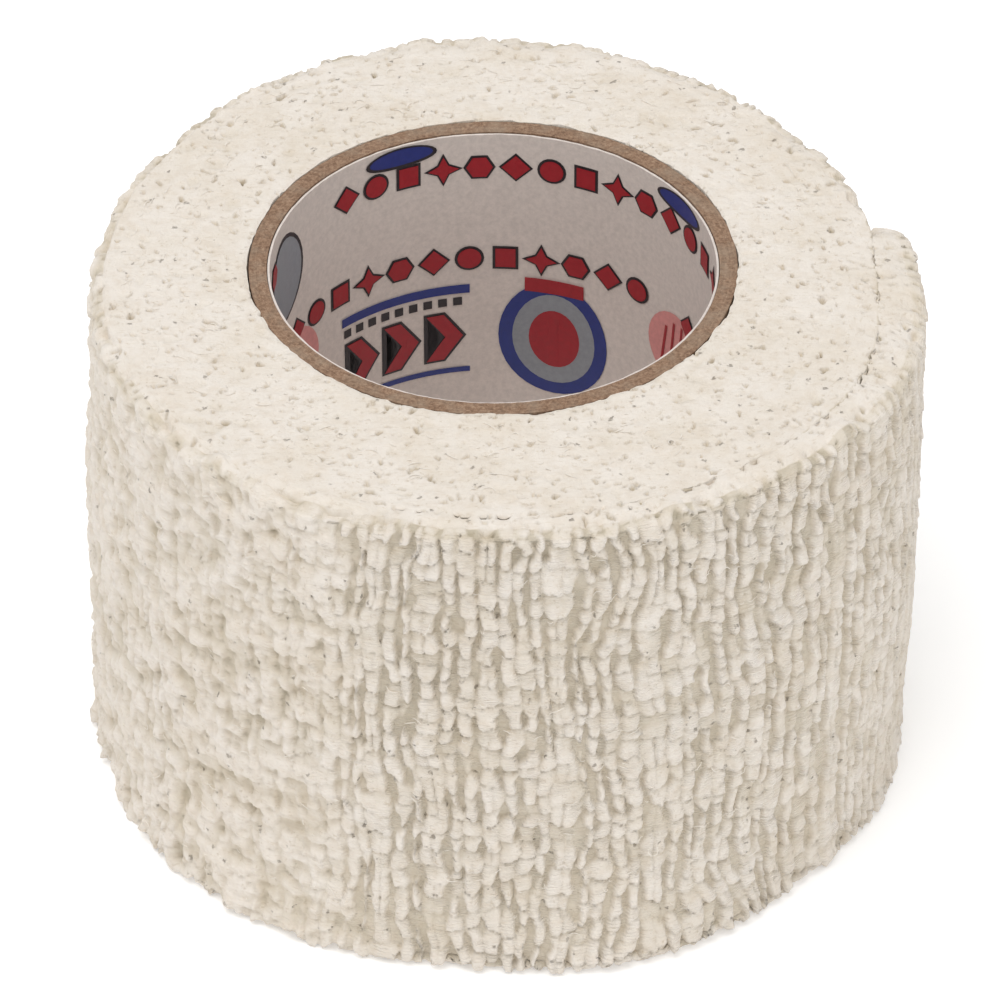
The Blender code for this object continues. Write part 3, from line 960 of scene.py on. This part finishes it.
def broken_threads(name, count, seed, on_wall):
    """Short broken threads lying on the cloth, their middles standing a little off it."""
    pick = np.random.default_rng(seed)
    share = np.linspace(0.0, 1.0, THREAD_RINGS)[None]
    length = (0.30 + pick.random((count, 1)) ** 3) * (share - 0.5)
    turn = 0.55 * pick.standard_normal((count, 1)) + 0.9 * pick.standard_normal((count, 1)) * (share - 0.5)
    along, across = length * np.cos(turn), length * np.sin(turn)
    arch = (0.02 + 0.22 * pick.random((count, 1)) ** 3) * 4.0 * share * (1.0 - share)
    angle = pick.uniform(10.0, 306.0, (count, 1))
    far = pick.random((count, 1))
    if on_wall:
        z = 1.6 + (WIDTH - 3.2) * far + across
        angle = angle + along / 0.46
        azimuth = angle + FREE_END_AZIMUTH
        cloth = -CREPE_DEPTH * (1.0 - crepe(angle * ALONG_PER_DEGREE, z - RIM_RADIUS))
        cloth = 0.5 * cloth + 0.5 * cloth.max(1, keepdims=True)
        radius = strip_outer(angle) + lean(azimuth, z, angle) + cloth + arch + 0.015
        outward = polar(1.0, azimuth, 0.0 * azimuth)
    else:
        radius = 17.6 + 7.6 * far ** 0.8 + across
        azimuth = angle + np.degrees(along / 21.0)
        flat = polar(radius, azimuth, 0.0 * radius)
        z = WIDTH + end_relief(flat[..., 0], flat[..., 1]).max(1, keepdims=True) + 0.5 * arch + 0.01
        outward = np.zeros(radius.shape + (3,)) + np.array((0.0, 0.0, 1.0))
    middle = polar(radius, azimuth, z + 0.0 * radius)
    ahead = np.gradient(middle, axis=1)
    ahead /= np.linalg.norm(ahead, axis=2, keepdims=True)
    aside = np.cross(ahead, outward)
    aside /= np.linalg.norm(aside, axis=2, keepdims=True)
    above = np.cross(aside, ahead)
    thick = THREAD_RADIUS * (1.0 - 0.5 * np.abs(2.0 * share - 1.0) ** 3)[..., None]
    rings = [middle + thick * (math.cos(a) * aside + math.sin(a) * above) for a in (0.5, 2.6, 4.7)]
    points = np.stack(rings, 2)
    index = np.arange(count * THREAD_RINGS * 3).reshape(count, THREAD_RINGS, 3)
    beside = np.roll(index, -1, 2)
    sides = np.stack((index[:, :-1], index[:, 1:], beside[:, 1:], beside[:, :-1]), -1)
    faces = sides.reshape(-1, 4).tolist() + index[:, 0].tolist() + index[:, -1, ::-1].tolist()
    mesh = bpy.data.meshes.new(name)
    mesh.from_pydata(to_frame(points.reshape(-1, 3)).tolist(), [], faces)
    piece = bpy.data.objects.new(name, mesh)
    bpy.context.scene.collection.objects.link(piece)
    return finish(piece, THREAD, ROLL)


# ---------------------------------------------------------------- the object

COTTON = cotton("crepe_cotton")
KRAFT = board("kraft_board")
WHITE = paper("liner_paper", srgb(225, 214, 206), 0.5)
TACKY = adhesive("tacky_adhesive")
THREAD = paper("cotton_thread", srgb(240, 233, 223), 0.85)

body_cloth = finish(wound_body(), COTTON, ROLL)
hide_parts("tape_tight_turns", "tape_loosening_turn")

broken_threads("wall_threads", 620, 501, True)
broken_threads("edge_threads", 300, 502, False)

strip_angles = span(-UNDER_ANGLE, PEEL_ANGLE, COLUMN_ANGLE)
turn_cloth = finish(outer_strip("outer_turn_cloth", strip_angles), COTTON, ROLL)
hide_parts("tape_outer_turn")

end_angles = span(PEEL_ANGLE, TAPE_END, COLUMN_ANGLE)
end_cloth = finish(outer_strip("free_end_cloth", end_angles, nose=6), COTTON, None)
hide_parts("tape_free_end")

for ply, radius in PLY_RADII.items():
    ring = tube(ply + "_board", radius, radius + PLY_THICKNESS + PLY_GAP, CORE_FOOT, CORE_TOP, 0.05, 91)
    finish(ring, KRAFT, ROLL)
    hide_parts(ply)
liner_low, liner_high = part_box("printed_liner")
liner_foot, liner_top = liner_low.z / MM, liner_high.z / MM
liner_outer = LINER_RADIUS + LINER_THICKNESS
lining = tube("liner_sheet", LINER_RADIUS, liner_outer, liner_foot, liner_top, 0.05, 90)
finish(lining, WHITE, ROLL)
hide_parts("printed_liner")
print_on_lining()

film_angles = span(1.0, PEEL_ANGLE, 1.0)
turn_film = finish(adhesive_film("outer_turn_film", film_angles), TACKY, ROLL)
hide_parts("tape_outer_turn_adhesive")
end_film = finish(adhesive_film("free_end_film", end_angles), TACKY, None)
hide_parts("tape_free_end_adhesive")


def tape_point(angle, radius):
    """Point of the frame, in metres, at a winding angle and a radius in millimetres."""
    around = math.radians(angle + FREE_END_AZIMUTH)
    x, y = radius * MM * math.cos(around), radius * MM * math.sin(around)
    return (AXIS_X + x, AXIS_Y + y, WIDTH * MM / 2.0)


BEND_ANGLE = 22.0
start = tape_point(PEEL_ANGLE, float(strip_outer(np.float64(PEEL_ANGLE))))
stop = tape_point(PEEL_ANGLE + BEND_ANGLE, float(strip_outer(np.float64(PEEL_ANGLE + BEND_ANGLE))))
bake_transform(end_cloth)
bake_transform(end_film)


# ---------------------------------------------------------------- floor, light and camera


def light_panel(name, place, size, power):
    """A soft square light aimed at the roll."""
    lamp = bpy.data.lights.new(name, "AREA")
    lamp.shape = "SQUARE"
    lamp.size = size
    lamp.energy = power
    holder = bpy.data.objects.new(name, lamp)
    holder.location = place
    aim = Vector((AXIS_X, AXIS_Y, 0.02)) - Vector(place)
    holder.rotation_euler = aim.to_track_quat("-Z", "Y").to_euler()
    bpy.context.scene.collection.objects.link(holder)


def studio():
    """Plain white floor, even white surroundings and soft panels from the upper left."""
    floor_mesh = bpy.data.meshes.new("floor")
    reach = 2.0
    corners = [(-reach, -reach, 0.0), (reach, -reach, 0.0), (reach, reach, 0.0), (-reach, reach, 0.0)]
    floor_mesh.from_pydata(corners, [], [(0, 1, 2, 3)])
    floor = bpy.data.objects.new("floor", floor_mesh)
    bpy.context.scene.collection.objects.link(floor)
    nodes = Nodes("floor_white", 0.9)
    nodes.shader.inputs["Base Color"].default_value = (0.95, 0.95, 0.95, 1.0)
    nodes.shader.inputs["Specular IOR Level"].default_value = 0.1
    nodes.shader.inputs["Emission Color"].default_value = (1.0, 1.0, 1.0, 1.0)
    nodes.shader.inputs["Emission Strength"].default_value = 0.22
    floor_mesh.materials.append(nodes.material)
    world = bpy.data.worlds.new("studio")
    world.use_nodes = True
    sky = world.node_tree.nodes["Background"]
    sky.inputs["Color"].default_value = (1.0, 1.0, 1.0, 1.0)
    sky.inputs["Strength"].default_value = 0.54
    bpy.context.scene.world = world
    light_panel("key", (-0.22, -0.22, 1.0), 0.9, 7.1)
    light_panel("fill", (0.8, -0.6, 0.6), 0.9, 2.0)
    bpy.context.scene.view_settings.view_transform = "Standard"


CAMERA_TILT = 38.72
CAMERA_REACH = 0.4953
CAMERA_AIM = Vector((AXIS_X + 0.00047, AXIS_Y, 0.01722))


def camera():
    """The photograph's view: from the front, looking down at the roll."""
    lens = bpy.data.cameras.new("camera")
    lens.lens = 253.7
    lens.sensor_width = 36.0
    lens.clip_start = 0.01
    eye = bpy.data.objects.new("camera", lens)
    tilt = math.radians(CAMERA_TILT)
    eye.location = CAMERA_AIM + Vector((0.0, -math.cos(tilt), math.sin(tilt))) * CAMERA_REACH
    eye.rotation_euler = (math.pi / 2.0 - tilt, 0.0, 0.0)
    bpy.context.scene.collection.objects.link(eye)
    bpy.context.scene.camera = eye


studio()
camera()
